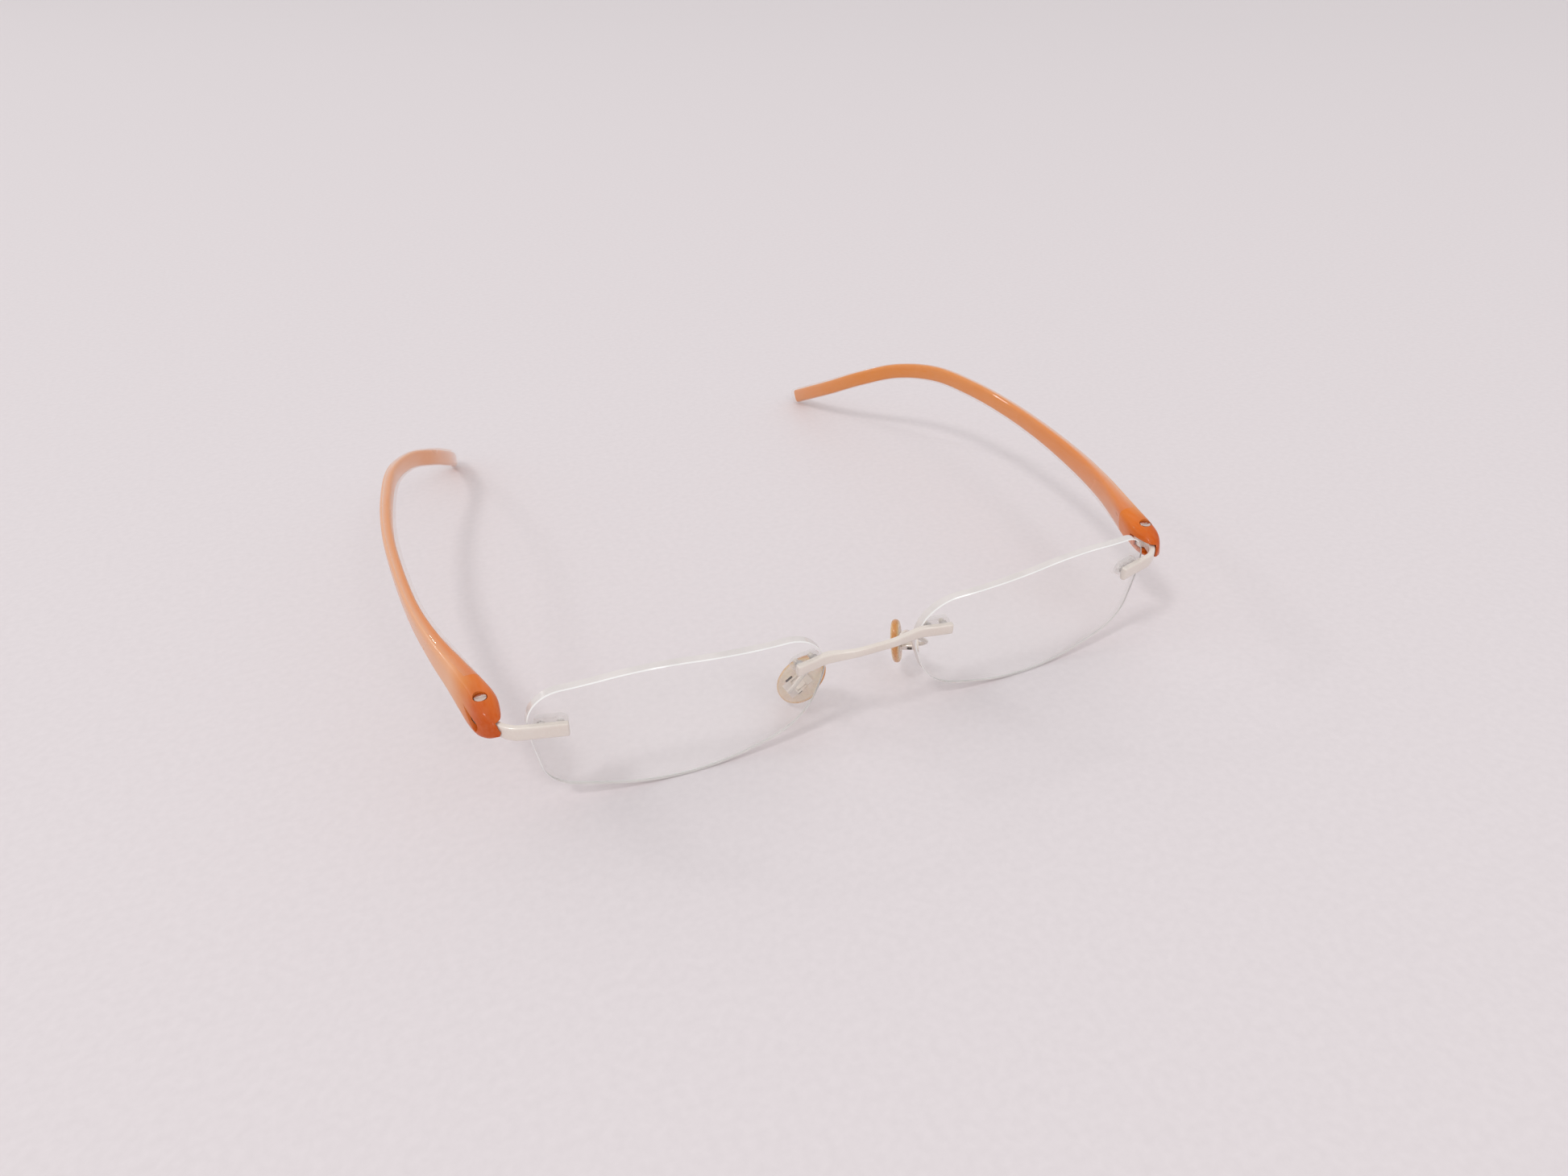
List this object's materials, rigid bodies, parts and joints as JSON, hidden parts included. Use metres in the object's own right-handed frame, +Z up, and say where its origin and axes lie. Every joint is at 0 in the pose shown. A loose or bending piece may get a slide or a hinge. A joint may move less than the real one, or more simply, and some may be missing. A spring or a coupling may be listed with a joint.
{
  "type": "rimless eyeglasses",
  "caption": "Rimless eyeglasses with drilled clear lenses, a metal bridge and endpieces, folding two-layer temples and rocking nose pads.",
  "frame": {"origin": "under the middle of the open glasses, on the surface that the lens edges and temple tips stand on", "axes": "+X towards the wearer's left, +Y back from the lenses along the temples, +Z up"},
  "size_m": [0.1478, 0.1453, 0.0259],
  "materials": {
    "demo_lens": "polished",
    "clear_plastic": "polished",
    "lacquer": "gloss",
    "temple_core": "gloss",
    "screw_metal": "satin",
    "hinge_metal": "satin",
    "arm_wire": "satin",
    "pad_core": "satin",
    "box_metal": "satin",
    "pad_metal": "satin",
    "pad_silicone": "soft satin"
  },
  "bodies": {
    "front": {"lens_right": "demo_lens", "lens_left": "demo_lens", "bridge": "lacquer", "bridge_sleeve_right": "clear_plastic", "bridge_sleeve_left": "clear_plastic", "endpiece_right": "lacquer", "endpiece_left": "lacquer", "endpiece_sleeve_right": "clear_plastic", "endpiece_sleeve_left": "clear_plastic", "pad_arm_right": "arm_wire", "pad_arm_left": "arm_wire", "pad_box_right": "box_metal", "pad_box_left": "box_metal", "pad_screw_right": "pad_metal", "pad_screw_left": "pad_metal"},
    "temple_right": {"temple_right": "temple_core", "temple_liner_right": "clear_plastic", "hinge_screw_right": "screw_metal", "hinge_nut_right": "hinge_metal", "hinge_washers_right": "hinge_metal"},
    "temple_left": {"temple_left": "temple_core", "temple_liner_left": "clear_plastic", "hinge_screw_left": "screw_metal", "hinge_nut_left": "hinge_metal", "hinge_washers_left": "hinge_metal"},
    "pad_right": {"nose_pad_right": "pad_silicone", "pad_insert_right": "pad_core"},
    "pad_left": {"nose_pad_left": "pad_silicone", "pad_insert_left": "pad_core"}
  },
  "joints": [
    {"name": "temple_fold_right", "type": "hinge", "parent": "front", "child": "temple_right", "pos_m": [-0.0659, -0.0619, 0.018], "axis": [0, 0, -1], "range_deg": [0, 76]},
    {"name": "temple_fold_left", "type": "hinge", "parent": "front", "child": "temple_left", "pos_m": [0.0659, -0.0619, 0.018], "axis": [0, 0, 1], "range_deg": [0, 83]},
    {"name": "pad_rock_right", "type": "hinge", "parent": "front", "child": "pad_right", "pos_m": [-0.01235, -0.06359, 0.00787], "axis": [-0.3922, 0.6883, 0.6103], "range_deg": [-12, 12]},
    {"name": "pad_rock_left", "type": "hinge", "parent": "front", "child": "pad_left", "pos_m": [0.01235, -0.06259, 0.00917], "axis": [0.3922, 0.6883, 0.6103], "range_deg": [-12, 12]}
  ]
}
